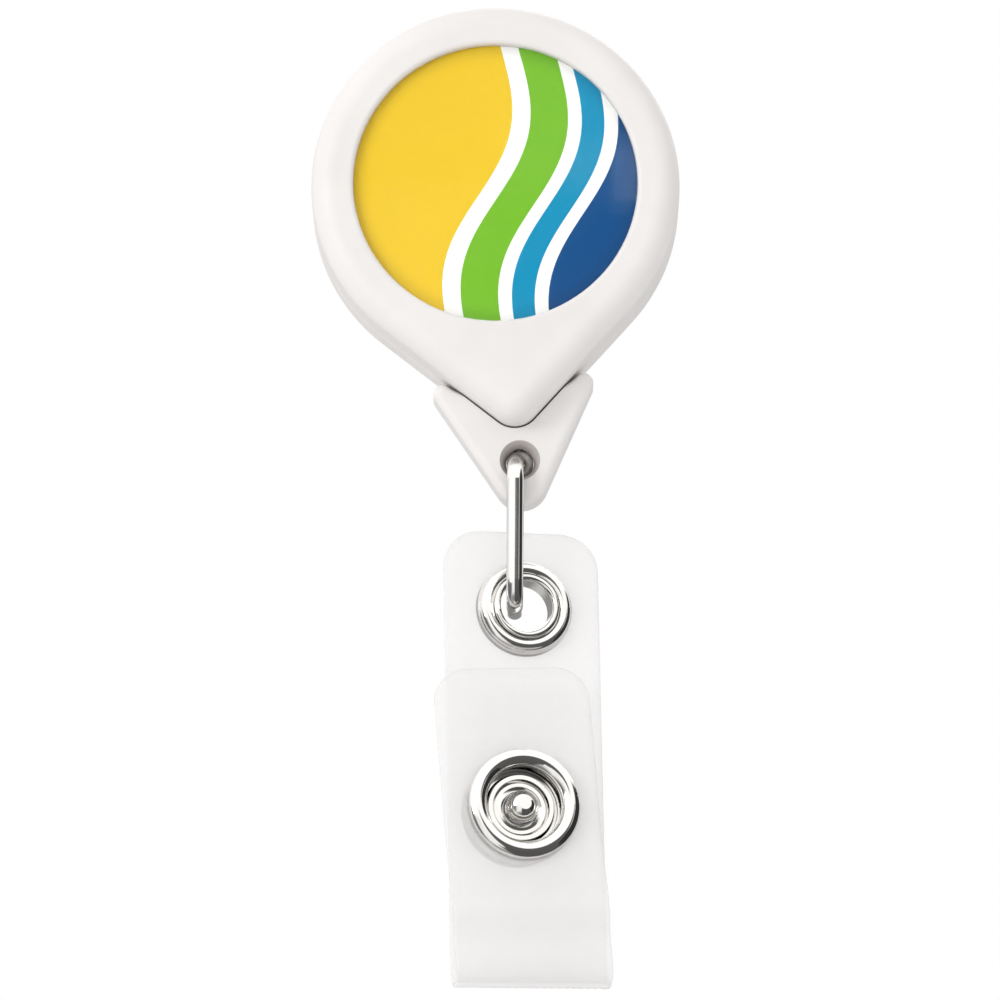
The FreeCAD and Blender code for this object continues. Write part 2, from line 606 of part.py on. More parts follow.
def snap_ring():
    return at_snap(lathe([
        (RING_IN_R, -2.04), (RING_IN_R + 0.2, -2.04), (RING_IN_R + 0.2, FLAP_FRONT - 0.02),
        (RING_IN_R + 0.3, FLAP_FRONT), (4.7, FLAP_FRONT),
        ((RING_OUT_R - 0.03, FLAP_FRONT - 0.08), (RING_OUT_R, FLAP_FRONT - 0.26)),
        ((4.8, FLAP_FRONT - 0.56), (4.56, FLAP_FRONT - 0.76)),
        ((4.05, FLAP_FRONT - 0.92), (3.66, FLAP_FRONT - 0.76)),
        ((3.4, FLAP_FRONT - 0.5), (RING_IN_R, FLAP_FRONT + 0.05))]))


# ---- clip ---------------------------------------------------------------------------
SHEET = 0.6
BASE_FRONT = 0.55        # y of the base plate's front and rear faces
BASE_REAR = BASE_FRONT + SHEET
BASE_HALF_W = 4.6
BASE_LOW_Z, BASE_HIGH_Z = -13.0, 14.0
BASE_CORNER_R = 1.6
LIP_W, LIP_HEIGHT, LIP_SINK = 7.0, 0.62, 0.02
EAR_CORNER_R = 1.3
TOOTH_PITCH, NOTCH_HALF_W = 1.4, 0.4
PIN_Y, PIN_Z, PIN_R = 3.6, 4.0, 0.8
PIN_HALF_LEN = 4.95
PIN_HEAD_R, PIN_HEAD_LEN = 1.15, 0.33
LEVER_LINE = [           # z, y of the lever sheet's middle, from the top down
    (15.0, 8.0), (7.6, 5.8), (0.6, 5.8), (-11.9, 3.1), (-12.7, 2.05)]
LEVER_HALF_W = 3.9
THUMB_HALF_W, THUMB_LOW_Z = 4.9, 9.2   # wider upper end of the lever
CLIP_WIRE_R, CLIP_COIL_R, CLIP_COILS, CLIP_PITCH = 0.3, 1.4, 5, 0.8
COIL_POINTS_PER_TURN = 16
LEG_LEN, LEG_SPLAY = 7.0, 0.05
LEG_FRONT_Y, LEG_REAR_Y = 1.47, 5.27   # where the legs' ends lie
LEG_PARTS = (0.2, 0.45, 0.72, 1.0)     # points along a leg, as parts of its length


def ribbon(points):
    """The outline of a bent sheet seen from its side, from its middle line."""
    normals = []
    for start, end in zip(points, points[1:]):
        run, rise = end[0] - start[0], end[1] - start[1]
        length = math.hypot(run, rise)
        normals.append((-rise / length, run / length))
    left, right = [], []
    for i, point in enumerate(points):
        before = normals[max(i - 1, 0)]
        after = normals[min(i, len(normals) - 1)]
        mitre = (before[0] + after[0], before[1] + after[1])
        scale = SHEET / 2 / (mitre[0] * before[0] + mitre[1] * before[1])
        left.append((point[0] + mitre[0] * scale, point[1] + mitre[1] * scale))
        right.append((point[0] - mitre[0] * scale, point[1] - mitre[1] * scale))
    return left + right[::-1]


def bent_sheet(points, half_w):
    face = face_of(ribbon(points), lambda z, y: Vec(-half_w, y, z))
    return face.extrude(Vec(2 * half_w, 0, 0))


def rod_x(radius, length, start_x):
    """A cylinder on the pin's axis."""
    return Part.makeCylinder(radius, length, Vec(start_x, PIN_Y, PIN_Z), X_AXIS)


def add_ears(body, half_w, low_y, high_y, low_z, height, round_y):
    """Fuse on an ear at each side, its two corners at round_y rounded."""
    for x in (-half_w, half_w - SHEET):
        ear = Part.makeBox(SHEET, high_y - low_y, height, Vec(x, low_y, low_z))
        corners = [edge for edge in ear.Edges
                   if abs(edge.CenterOfMass.y - round_y) < 1e-6 and x_span(edge) > 0.1]
        body = body.fuse(ear.makeFillet(EAR_CORNER_R, corners))
    return body


def notch(x, open_y, point_y, low_z, height):
    """A three-sided cutter that leaves teeth between its neighbours."""
    face = face_of([(x - NOTCH_HALF_W, open_y), (x + NOTCH_HALF_W, open_y), (x, point_y)],
                   lambda x, y: Vec(x, y, low_z))
    return face.extrude(Vec(0, 0, height))


def clip_base():
    base = Part.makeBox(2 * BASE_HALF_W, SHEET, BASE_HIGH_Z - BASE_LOW_Z,
                        Vec(-BASE_HALF_W, BASE_FRONT, BASE_LOW_Z))
    corners = [edge for edge in base.Edges if x_span(edge) < 1e-6 and z_span(edge) < 1e-6]
    base = base.makeFillet(BASE_CORNER_R, corners)
    base = base.fuse(Part.makeBox(LIP_W, LIP_HEIGHT, SHEET,
                                  Vec(-LIP_W / 2, BASE_REAR - LIP_SINK, BASE_LOW_Z)))
    base = add_ears(base, BASE_HALF_W, BASE_FRONT, 5.1, 1.7, 4.6, round_y=5.1)
    base = base.cut(rod_x(PIN_R + 0.02, 12, -6))
    base = base.cut(Part.makeCylinder(RIVET_R + 0.08, 3, Vec(0, -0.5, 0), Y_AXIS))
    for k in range(-2, 3):
        base = base.cut(notch(k * TOOTH_PITCH, BASE_REAR + 0.7, BASE_REAR + 0.15,
                              BASE_LOW_Z - 0.2, 1.2))
    return one(base)


def clip_lever():
    (top_z, top_y), (bend_z, bend_y) = LEVER_LINE[:2]
    slope = (top_y - bend_y) / (top_z - bend_z)
    thumb_low = (THUMB_LOW_Z, top_y - (top_z - THUMB_LOW_Z) * slope)
    lever = bent_sheet(LEVER_LINE, LEVER_HALF_W)
    lever = lever.fuse(bent_sheet([LEVER_LINE[0], thumb_low], THUMB_HALF_W))
    lever = add_ears(lever, LEVER_HALF_W, 2.3, 5.7, 2.2, 3.6, round_y=2.3)
    lever = lever.cut(rod_x(PIN_R + 0.05, 12, -6))
    for k in range(-2, 2):
        lever = lever.cut(notch((k + 0.5) * TOOTH_PITCH, 1.7, 2.35, -13.4, 1.6))
    return one(lever)


def clip_pin():
    pin = rod_x(PIN_R, 2 * PIN_HALF_LEN, -PIN_HALF_LEN)
    for start_x in (PIN_HALF_LEN - PIN_HEAD_LEN, -PIN_HALF_LEN):
        pin = pin.fuse(rod_x(PIN_HEAD_R, PIN_HEAD_LEN, start_x))
    return one(pin)


def spring_leg(foot_x, foot_y, end_y, side):
    return [Vec(foot_x + side * LEG_SPLAY * part, foot_y + (end_y - foot_y) * part,
                PIN_Z + LEG_LEN * part) for part in LEG_PARTS]


def clip_spring():
    start_x = -CLIP_COILS * CLIP_PITCH / 2
    points = spring_leg(start_x, PIN_Y - CLIP_COIL_R, LEG_FRONT_Y, -1)[::-1]
    for i in range(int((CLIP_COILS - 0.5) * COIL_POINTS_PER_TURN) + 1):
        turns = i / COIL_POINTS_PER_TURN
        angle = 2 * math.pi * turns
        points.append(Vec(start_x + CLIP_PITCH * turns,
                          PIN_Y - CLIP_COIL_R * math.cos(angle),
                          PIN_Z - CLIP_COIL_R * math.sin(angle)))
    points += spring_leg(points[-1].x, points[-1].y, LEG_REAR_Y, 1)
    path, ring = rod_path(points, CLIP_WIRE_R)
    return one(path.makePipe(Part.Face(ring)))


def swivel_rivet():
    return one(lathe([
        (0.0, -4.65), (1.1, -4.65), (1.42, -4.4), (1.42, -4.05), (RIVET_R, -4.03),
        (RIVET_R, BASE_REAR + 0.04), (2.6, BASE_REAR + 0.04), (2.6, BASE_REAR + 0.25),
        ((1.9, BASE_REAR + 0.62), (0.9, BASE_REAR + 0.78)), (0.0, BASE_REAR + 0.78)]))


def swivel_washer():
    bore_r = RIVET_R + 0.08
    return one(lathe([(bore_r, 0.03), (4.6, 0.03), (4.6, 0.35), (4.45, 0.5), (bore_r, 0.5)]))


# ---- build and export ---------------------------------------------------------------
def strap_placement():
    """The strap hangs from the middle of the link's lower bar."""
    turn = FreeCAD.Rotation(Y_AXIS, STRAP_TILT)
    turn = turn.multiply(FreeCAD.Rotation(Z_AXIS, STRAP_YAW))
    turn = turn.multiply(FreeCAD.Rotation(X_AXIS, STRAP_ROCK))
    tilt = math.radians(LINK_TILT)
    link_low = Vec(LINK_TOP_X - LINK_LEN * math.sin(tilt), -PARTING,
                   LINK_TOP_Z - LINK_LEN * math.cos(tilt))
    return FreeCAD.Placement(link_low + turn.multVec(Vec(EYELET_DX, 0, EYELET_DZ)), turn)


# Each file takes the name of the function that builds its piece.
CASE_FRAME = (front_case, rear_case, label_disc, label_dome, cord_coil, spool, power_spring,
              spring_cover, cord_lead, cord_guide, cord_yoke, wire_link, clip_base,
              clip_lever, clip_pin, clip_spring, swivel_rivet, swivel_washer)
STRAP_FRAME = (strap_back, strap_flap, grommet_eyelet, grommet_washer, snap_stud,
               snap_stud_rivet, snap_socket, snap_spring, snap_ring)

parts = {build.__name__: build() for build in CASE_FRAME}
to_world = strap_placement()
for build in STRAP_FRAME:
    piece = one(build())
    piece.Placement = to_world.multiply(piece.Placement)
    parts[build.__name__] = piece

os.makedirs("parts", exist_ok=True)
for name, shape in parts.items():
    shape.exportStep("parts/" + name + ".step")
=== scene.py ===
# A badge reel with its strap. The round case turns about the Y axis through the origin with
# its printed face towards -Y (front) and its clip towards +Y. The cord runs down (-Z) to the
# yoke and the wire link, which carries a folded clear strap. Objects are in metres, +Z up;
# shape dimensions are in millimetres unless a comment says otherwise, materials in metres.
import bmesh
import bpy
import math
import numpy as np
from functools import reduce
from mathutils import Vector, Matrix
from mathutils.geometry import delaunay_2d_cdt


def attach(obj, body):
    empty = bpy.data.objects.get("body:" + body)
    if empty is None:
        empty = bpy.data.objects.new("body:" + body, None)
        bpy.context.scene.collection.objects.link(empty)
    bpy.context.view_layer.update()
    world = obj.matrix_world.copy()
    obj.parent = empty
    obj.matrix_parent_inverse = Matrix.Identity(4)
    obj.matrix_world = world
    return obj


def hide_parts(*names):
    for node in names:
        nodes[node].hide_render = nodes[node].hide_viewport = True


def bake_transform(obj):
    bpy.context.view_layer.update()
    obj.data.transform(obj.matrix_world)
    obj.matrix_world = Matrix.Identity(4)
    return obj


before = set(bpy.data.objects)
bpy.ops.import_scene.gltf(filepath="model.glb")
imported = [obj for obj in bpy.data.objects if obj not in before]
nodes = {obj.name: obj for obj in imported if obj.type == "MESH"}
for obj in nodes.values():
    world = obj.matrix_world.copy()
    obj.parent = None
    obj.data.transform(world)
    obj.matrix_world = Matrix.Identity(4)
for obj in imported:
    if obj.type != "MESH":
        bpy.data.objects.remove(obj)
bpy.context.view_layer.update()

scene = bpy.context.scene
MM = 0.001

# Places shared by the cord, the yoke, the link and the strap
CORD_Y = -3.8
YOKE_HOLE_Z, YOKE_HOLE_R = -24.1, 1.165
WIRE_X, WIRE_Z = -0.38, -24.12      # where the link's wire passes through the yoke


# ---------------------------------------------------------------- shader graphs
class Graph:
    """A node tree with short ways to add and join nodes."""

    def __init__(self, tree):
        self.tree = tree

    def feed(self, socket, value):
        """Links an output to the socket, or sets the socket's value."""
        if isinstance(value, bpy.types.NodeSocket):
            self.tree.links.new(value, socket)
        else:
            socket.default_value = (*value, 1) if socket.type == "RGBA" else value

    def add(self, kind, inputs=None, **props):
        """Adds a node; inputs maps a socket's name or index to what feeds it."""
        new = self.tree.nodes.new(kind)
        for name, value in props.items():
            setattr(new, name, value)
        for key, value in (inputs or {}).items():
            self.feed(new.inputs[key], value)
        return new

    def surface(self, inputs):
        bsdf = next(n for n in self.tree.nodes if n.type == "BSDF_PRINCIPLED")
        for key, value in inputs.items():
            self.feed(bsdf.inputs[key], value)

    def mapping(self, vector, scale):
        new = self.add("ShaderNodeMapping", {"Scale": scale, "Vector": vector})
        return new.outputs["Vector"]

    def coords(self, scale=(1, 1, 1)):
        return self.mapping(self.add("ShaderNodeTexCoord").outputs["Object"], scale)

    def noise(self, vector, scale, detail=3.0, rough=0.5):
        inputs = {"Scale": scale, "Detail": detail, "Roughness": rough, "Vector": vector}
        return self.add("ShaderNodeTexNoise", inputs).outputs["Fac"]

    def remap(self, value, to=(0.0, 1.0), span=(0.3, 0.7), smooth=False):
        """Carries span onto to; span's default suits the usual range of a noise."""
        inputs = {"From Min": span[0], "From Max": span[1],
                  "To Min": to[0], "To Max": to[1], "Value": value}
        kind = "SMOOTHSTEP" if smooth else "LINEAR"
        return self.add("ShaderNodeMapRange", inputs, interpolation_type=kind).outputs["Result"]

    def mix(self, factor, first, second):
        inputs = {0: factor, 6: first, 7: second}
        return self.add("ShaderNodeMix", inputs, data_type="RGBA").outputs[2]

    def calc(self, operation, first, second, **props):
        inputs = {0: first, 1: second}
        return self.add("ShaderNodeMath", inputs, operation=operation, **props).outputs[0]

    def bump(self, height, distance, strength, before=None):
        inputs = {"Distance": distance, "Strength": strength, "Height": height}
        if before is not None:
            inputs["Normal"] = before
        return self.add("ShaderNodeBump", inputs).outputs["Normal"]

    def vector_math(self, operation, *inputs):
        return self.add("ShaderNodeVectorMath", dict(enumerate(inputs)), operation=operation)

    def radius(self, vector):
        """Distance from the Y axis."""
        flat = self.vector_math("MULTIPLY", vector, (1, 0, 1)).outputs[0]
        return self.vector_math("LENGTH", flat).outputs["Value"]

    def painted_recess_shade(self, colour, shade, reach):
        """Painted shade: darkens a colour where surfaces crowd together: seams, holes and
        undercuts.
        """
        crowd = self.add("ShaderNodeAmbientOcclusion", {"Distance": reach}, samples=8)
        return self.mix(self.remap(crowd.outputs["AO"], span=(0.22, 0.72)), shade, colour)

    def paint_hole_shade(self, colour, x, z, radius, shade, soft=5e-5):
        """Painted shade: greys the wall of a hole that runs along Y, and anything within it."""
        place = self.add("ShaderNodeTexCoord").outputs["Object"]
        offset = self.vector_math("SUBTRACT", place, (x, 0, z)).outputs[0]
        outside = self.remap(self.radius(offset), span=(radius - soft, radius + soft))
        return self.mix(outside, shade, colour)

    def shaded(self, colour, painted_recess_shade, painted_hole_shade):
        # Paints shade into the colour: in recesses, then inside a hole.
        if painted_recess_shade:
            colour = self.painted_recess_shade(colour, **painted_recess_shade)
        if painted_hole_shade:
            colour = self.paint_hole_shade(colour, **painted_hole_shade)
        return colour


def new_material(name):
    material = bpy.data.materials.new(name)
    material.use_nodes = True
    return material, Graph(material.node_tree)


def srgb(*channels):
    """Linear colour from 0-255 sRGB channels."""
    def linear(c):
        return c / 255 / 12.92 if c / 255 <= 0.04045 else ((c / 255 + 0.055) / 1.055) ** 2.4
    return tuple(linear(c) for c in channels)


# ---------------------------------------------------------------- materials
def plastic(name, base, base2, rough, grain, depth, spec=0.5, painted_recess_shade=None, painted_hole_shade=None):
    """Moulded plastic; grain is the scale of its fine texture and depth that texture's height."""
    material, graph = new_material(name)
    place = graph.coords()
    tone = graph.remap(graph.noise(place, scale=180, detail=2))
    fine = graph.noise(place, scale=grain, detail=2, rough=0.6)
    normal = graph.bump(fine, distance=depth, strength=0.8)
    broad = graph.noise(place, scale=260, detail=1)
    graph.surface({
        # The base colour can carry painted shade in recesses and inside a hole.
        "Base Color": graph.shaded(graph.mix(tone, base, base2), painted_recess_shade, painted_hole_shade),
        "Roughness": graph.remap(graph.noise(place, scale=900, detail=4),
                                 to=(rough - 0.05, rough + 0.06)),
        "Normal": graph.bump(broad, distance=depth * 6, strength=0.35, before=normal),
        "Specular IOR Level": spec,
    })
    return material


def metal(name, base, base2, rough, streak=(1, 1, 1), depth=2e-6, painted_recess_shade=None, painted_hole_shade=None):
    """Polished metal; rough is a range, and streak stretches the texture along an axis."""
    material, graph = new_material(name)
    place = graph.coords(streak)
    tone = graph.remap(graph.noise(place, scale=400))
    graph.surface({
        "Metallic": 1.0,
        # The base colour can carry painted shade in recesses and inside a hole.
        "Base Color": graph.shaded(graph.mix(tone, base, base2), painted_recess_shade, painted_hole_shade),
        "Roughness": graph.remap(graph.noise(place, scale=1250, detail=5, rough=0.6), to=rough),
        "Normal": graph.bump(graph.noise(place, scale=2500), distance=depth, strength=0.5),
    })
    return material


def braid(name, shade=(0.12, 0.11, 0.10)):
    """Woven cord: two sets of diagonal bands, crossing."""
    material, graph = new_material(name)
    place = graph.coords()
    strands = []
    for way in (1.0, -1.0):
        slanted = graph.mapping(place, scale=(way * 1.6, way * 1.6, 1.0))
        wave = graph.add("ShaderNodeTexWave", {"Scale": 620, "Distortion": 0.4, "Vector": slanted},
                         wave_type="BANDS", bands_direction="DIAGONAL")
        strands.append(wave.outputs["Fac"])
    height = graph.calc("MAXIMUM", *strands)
    weave = graph.mix(height, srgb(176, 172, 168), srgb(226, 223, 219))
    normal = graph.bump(height, distance=4e-5, strength=0.8)
    fuzz = graph.noise(place, scale=9000, detail=2)
    graph.surface({
        # Painted shade: the weave darkens where the cord crowds against other surfaces.
        "Base Color": graph.painted_recess_shade(weave, shade=shade, reach=0.0016),
        "Normal": graph.bump(fuzz, distance=1e-5, strength=0.6, before=normal),
        "Roughness": 0.75,
        "Sheen Weight": 0.3,
    })
    return material


def vinyl(name):
    """Hazy clear sheet, more opaque where it is seen edge on."""
    material, graph = new_material(name)
    place = graph.coords()
    tone = graph.remap(graph.noise(place, scale=110))
    normal = graph.bump(graph.noise(place, scale=3800), distance=4e-6, strength=0.5)
    ripple = graph.noise(place, scale=120, detail=2)
    facing = graph.add("ShaderNodeLayerWeight", {"Blend": 0.35}).outputs["Facing"]
    haze = graph.remap(facing, to=(0.35, 0.72), span=(0.0, 1.0))
    cloud = graph.remap(graph.noise(place, scale=240, detail=2), to=(-0.015, 0.015))
    graph.surface({
        "Base Color": graph.mix(tone, (0.975, 0.955, 0.95), (0.99, 0.975, 0.97)),
        "Roughness": graph.remap(graph.noise(place, scale=700, detail=4), to=(0.20, 0.27)),
        "Normal": graph.bump(ripple, distance=1.0e-4, strength=0.3, before=normal),
        "IOR": 1.5,
        "Alpha": graph.calc("ADD", haze, cloud, use_clamp=True),
    })
    return material


def clear_dome(name):
    """Clear resin that casts almost no shadow on the print below it."""
    material, graph = new_material(name)
    place = graph.coords()
    shadow_ray = graph.add("ShaderNodeLightPath").outputs["Is Shadow Ray"]
    graph.surface({
        "Base Color": graph.mix(graph.noise(place, scale=90), (0.985, 0.985, 0.985), (1, 1, 1)),
        "Roughness": graph.remap(graph.noise(place, scale=300, detail=2), to=(0.02, 0.05)),
        "Normal": graph.bump(graph.noise(place, scale=110, detail=1),
                             distance=3e-5, strength=0.4),
        "IOR": 1.45,
        "Specular IOR Level": 0.07,
        "Transmission Weight": 1.0,
        "Alpha": graph.remap(shadow_ray, to=(0.32, 0.04), span=(0.0, 1.0)),
    })
    return material


def print_ink(name, colour, painted_glow=0.0):
    """Printed ink, with painted shade that darkens it a little towards the disc's rim."""
    material, graph = new_material(name)
    place = graph.coords()
    light = tuple(min(1.0, c * 1.015 + 0.001) for c in colour)
    dark = tuple(c * 0.985 for c in colour)
    rim_shade_colour = tuple(c * 0.80 for c in colour)
    tone = graph.mix(graph.remap(graph.noise(place, scale=6500, detail=2)), dark, light)
    # painted shade towards the rim of the disc
    rim_shade = graph.remap(graph.radius(place), span=(0.0108, 0.0124), smooth=True)
    graph.surface({
        "Base Color": graph.mix(rim_shade, tone, rim_shade_colour),
        "Roughness": graph.remap(graph.noise(place, scale=800), to=(0.28, 0.4)),
        "Normal": graph.bump(graph.noise(place, scale=5200, detail=2),
                             distance=1.5e-6, strength=0.5),
        "Specular IOR Level": 0.06,
        "Emission Strength": painted_glow,      # painted glow that lightens the white print
    })
    return material


abs_case = plastic("case_abs", srgb(239, 235, 233), srgb(243, 240, 238),
                   rough=0.42, grain=5200, depth=7e-6, spec=0.28)
# The yoke's colour carries painted shade: dark in the seam against the case and grey inside the
# cord hole.
abs_yoke = plastic("yoke_abs", srgb(239, 236, 234), srgb(243, 240, 238),
                   rough=0.38, grain=5200, depth=6e-6, spec=0.28,
                   painted_recess_shade=dict(shade=(0.20, 0.19, 0.18), reach=0.0006),
                   painted_hole_shade=dict(x=0.0, z=YOKE_HOLE_Z * MM, radius=0.00176,
                             shade=(0.68, 0.63, 0.61)))
inner = plastic("inner_grey", srgb(120, 122, 126), srgb(132, 134, 138),
                rough=0.4, grain=5000, depth=6e-6)
acetal = plastic("guide_acetal", srgb(226, 225, 220), srgb(234, 233, 228),
                 rough=0.3, grain=4000, depth=3e-6)
nickel = metal("nickel_plate", (0.80, 0.79, 0.77), (0.86, 0.85, 0.84), rough=(0.06, 0.13))
# The link's colour carries painted shade in crevices, and grey over the top of the wire where it
# sits in the yoke's hole.
link_chrome = metal("link_chrome", (0.80, 0.79, 0.775), (0.86, 0.85, 0.84),
                    rough=(0.05, 0.12), streak=(1, 1, 0.15),
                    painted_recess_shade=dict(shade=(0.36, 0.35, 0.34), reach=0.0013),
                    painted_hole_shade=dict(x=-0.0002, z=-0.0239, radius=0.0009,
                              shade=(0.50, 0.48, 0.47), soft=0.00035))
clip_plate = metal("clip_plate", (0.74, 0.73, 0.72), (0.79, 0.78, 0.77),
                   rough=(0.27, 0.36), streak=(1, 1, 0.2), depth=1e-6)
spring_steel = metal("spring_steel", (0.42, 0.43, 0.45), (0.52, 0.53, 0.55),
                     rough=(0.25, 0.4), streak=(1, 0.1, 1))
# Both cords carry painted shade where they crowd other parts; the knot's is lighter.
cord_mat = braid("cord_braid")
knot_mat = braid("knot_braid", shade=(0.36, 0.34, 0.33))
vinyl_mat = vinyl("frosted_vinyl")
dome_mat = clear_dome("clear_dome")
INKS = {
    # The white ink carries a painted glow.
    "white": print_ink("ink_white", srgb(252, 252, 250), painted_glow=0.14),
    "yellow": print_ink("ink_yellow", srgb(250, 211, 48)),
    "green": print_ink("ink_green", srgb(126, 198, 44)),
    "teal": print_ink("ink_teal", srgb(0, 152, 196)),
    "navy": print_ink("ink_navy", srgb(0, 80, 142)),
}

# The CAD pieces each material dresses
for material, names in (
    (abs_case, "front_case rear_case"),
    (abs_yoke, "cord_yoke"),
    (inner, "spool spring_cover"),
    (acetal, "cord_guide"),
    (cord_mat, "cord_coil"),
    (spring_steel, "power_spring snap_spring clip_spring"),
    (dome_mat, "label_dome"),
    (link_chrome, "wire_link"),
    (nickel, "grommet_eyelet grommet_washer snap_stud snap_stud_rivet snap_socket snap_ring "
             "clip_pin swivel_rivet"),
    (clip_plate, "clip_base clip_lever swivel_washer"),
):
    for name in names.split():
        piece = nodes[name]
        if not piece.material_slots:
            piece.data.materials.append(material)
        for slot in piece.material_slots:
            slot.material = material


# ---------------------------------------------------------------- mesh helpers
def link_object(name, data):
    obj = bpy.data.objects.new(name, data)
    scene.collection.objects.link(obj)
    return obj


def mesh_object(name, verts, faces, materials, face_materials=None, smooth=True):
    """A mesh object from points in metres."""
    mesh = bpy.data.meshes.new(name)
    mesh.from_pydata([tuple(float(c) for c in v) for v in verts], [], faces)
    for material in materials:
        mesh.materials.append(material)
    if face_materials is not None:
        mesh.polygons.foreach_set("material_index", np.array(face_materials, np.int32))
    mesh.validate()
    mesh.polygons.foreach_set("use_smooth", np.full(len(mesh.polygons), smooth))
    mesh.update()
    return link_object(name, mesh)


def tidy(obj):
    """Merges doubles, drops loose points and turns every face outwards."""
    bm = bmesh.new()
    bm.from_mesh(obj.data)
    bmesh.ops.delete(bm, geom=[v for v in bm.verts if not v.link_faces], context="VERTS")
    bmesh.ops.remove_doubles(bm, verts=bm.verts, dist=2e-7)
    bmesh.ops.recalc_face_normals(bm, faces=bm.faces)
    bm.to_mesh(obj.data)
    bm.free()
    obj.data.update()


def circle(cx, cy, radius, count):
    angles = [2 * math.pi * i / count for i in range(count)]
    return [(cx + radius * math.cos(a), cy + radius * math.sin(a)) for a in angles]


def ring_faces(rings, count):
    """Quads joining successive rings of count points."""
    faces = []
    for i in range(rings - 1):
        for k in range(count):
            j = (k + 1) % count
            faces.append((i * count + k, i * count + j, (i + 1) * count + j, (i + 1) * count + k))
    return faces


def tube(name, rings, material):
    """A closed tube through rings of points."""
    count = len(rings[0])
    faces = ring_faces(len(rings), count)
    faces.append(tuple(reversed(range(count))))
    faces.append(tuple((len(rings) - 1) * count + k for k in range(count)))
    obj = mesh_object(name, [p * MM for ring in rings for p in ring], faces, [material])
    tidy(obj)
    return obj


def ring_about(centre, first, second, radius, count):
    """Points round centre in the plane of two unit directions."""
    return [centre + (first * math.cos(a) + second * math.sin(a)) * radius
            for a in (2 * math.pi * k / count for k in range(count))]


def catmull(points, per):
    """A centripetal Catmull-Rom curve with per samples between points."""
    def between(p, q, start, end, at):
        return p * ((end - at) / (end - start)) + q * ((at - start) / (end - start))

    out = []
    p = [Vector(a) for a in points]
    p = [p[0] * 2 - p[1]] + p + [p[-1] * 2 - p[-2]]
    for a, b, c, d in zip(p, p[1:], p[2:], p[3:]):
        t0 = 0.0
        t1 = t0 + (b - a).length ** 0.5
        t2 = t1 + (c - b).length ** 0.5
        t3 = t2 + (d - c).length ** 0.5
        for k in range(per):
            at = t1 + (t2 - t1) * k / per
            ab = between(a, b, t0, t1, at)
            bc = between(b, c, t1, t2, at)
            cd = between(c, d, t2, t3, at)
            out.append(between(between(ab, bc, t0, t2, at), between(bc, cd, t1, t3, at),
                               t1, t2, at))
    out.append(p[-2])
    return np.array(out, float)


# ---------------------------------------------------------------- printed disc and its lens
LABEL_R = 12.31
LABEL_BACK_Y, LABEL_FRONT_Y = -7.6, -8.42
LENS_EDGE_Y, LENS_TOP_Y = -8.64, -9.1
BAND_TILT = math.radians(-14)
WAVE_HEIGHT, WAVE_RATE, WAVE_PHASE = 1.9, 0.235, 0.35
# Wavy bands of ink: where each starts across the bands, and its ink
BANDS = [(-99, "yellow"), (-1.35, "white"), (0.25, "green"), (3.55, "white"),
         (4.75, "teal"), (6.75, "white"), (7.95, "navy")]


def wave(along_band):
    return WAVE_HEIGHT * math.sin(along_band * WAVE_RATE + WAVE_PHASE)


def band_across(x, z):
    """How far across the bands a point lies."""
    along_band = -x * math.sin(BAND_TILT) + z * math.cos(BAND_TILT)
    return x * math.cos(BAND_TILT) + z * math.sin(BAND_TILT) - wave(along_band)


def band_point(across, along_band):
    u = across + wave(along_band)
    return (u * math.cos(BAND_TILT) - along_band * math.sin(BAND_TILT),
            u * math.sin(BAND_TILT) + along_band * math.cos(BAND_TILT))


def make_label_disc():
    rim_count, edge_count = 180, 90
    points = [Vector(p) for p in circle(0, 0, LABEL_R, rim_count)]
    edges = [(i, (i + 1) % rim_count) for i in range(rim_count)]
    for start, _ in BANDS[1:]:
        first = len(points)
        points += [Vector(band_point(start, p)) for p in np.linspace(-15.5, 15.5, edge_count)]
        edges += [(first + i, first + i + 1) for i in range(edge_count - 1)]
    verts, _, faces, *_ = delaunay_2d_cdt(points, edges, [], 0, 1e-5)

    ink_names = list(INKS)
    kept, inks = [], []
    for face in faces:
        centre = sum((verts[i] for i in face), Vector((0, 0))) / len(face)
        if centre.length > LABEL_R * math.cos(math.pi / rim_count) + 1e-4:
            continue
        across = band_across(centre.x, centre.y)
        kept.append(tuple(face))
        inks.append(ink_names.index([ink for start, ink in BANDS if start <= across][-1]))
    used = sorted({i for face in kept for i in face})
    index = {k: i for i, k in enumerate(used)}
    kept = [tuple(index[i] for i in face) for face in kept]
    count = len(used)
    solid = [(verts[i].x * MM, y * MM, verts[i].y * MM)
             for y in (LABEL_FRONT_Y, LABEL_BACK_Y) for i in used]

    def facing(face, back):
        a, b, c = (Vector(solid[i]) for i in face[:3])
        turn = (b - a).cross(c - a).y
        return face if (turn < 0) != back else tuple(reversed(face))

    out, face_inks = [], []
    for face, ink in zip(kept, inks):
        out += [facing(face, False), facing(tuple(i + count for i in face), True)]
        face_inks += [ink, 0]
    fronts = [facing(face, False) for face in kept]
    sides = dict.fromkeys(pair for f in fronts for pair in zip(f, f[1:] + f[:1]))
    for a, b in sides:
        if (b, a) not in sides:
            out.append((b, a, a + count, b + count))
            face_inks.append(0)
    obj = mesh_object("label_print", solid, out, list(INKS.values()), face_inks, smooth=False)
    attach(obj, "case")
    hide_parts("label_disc")


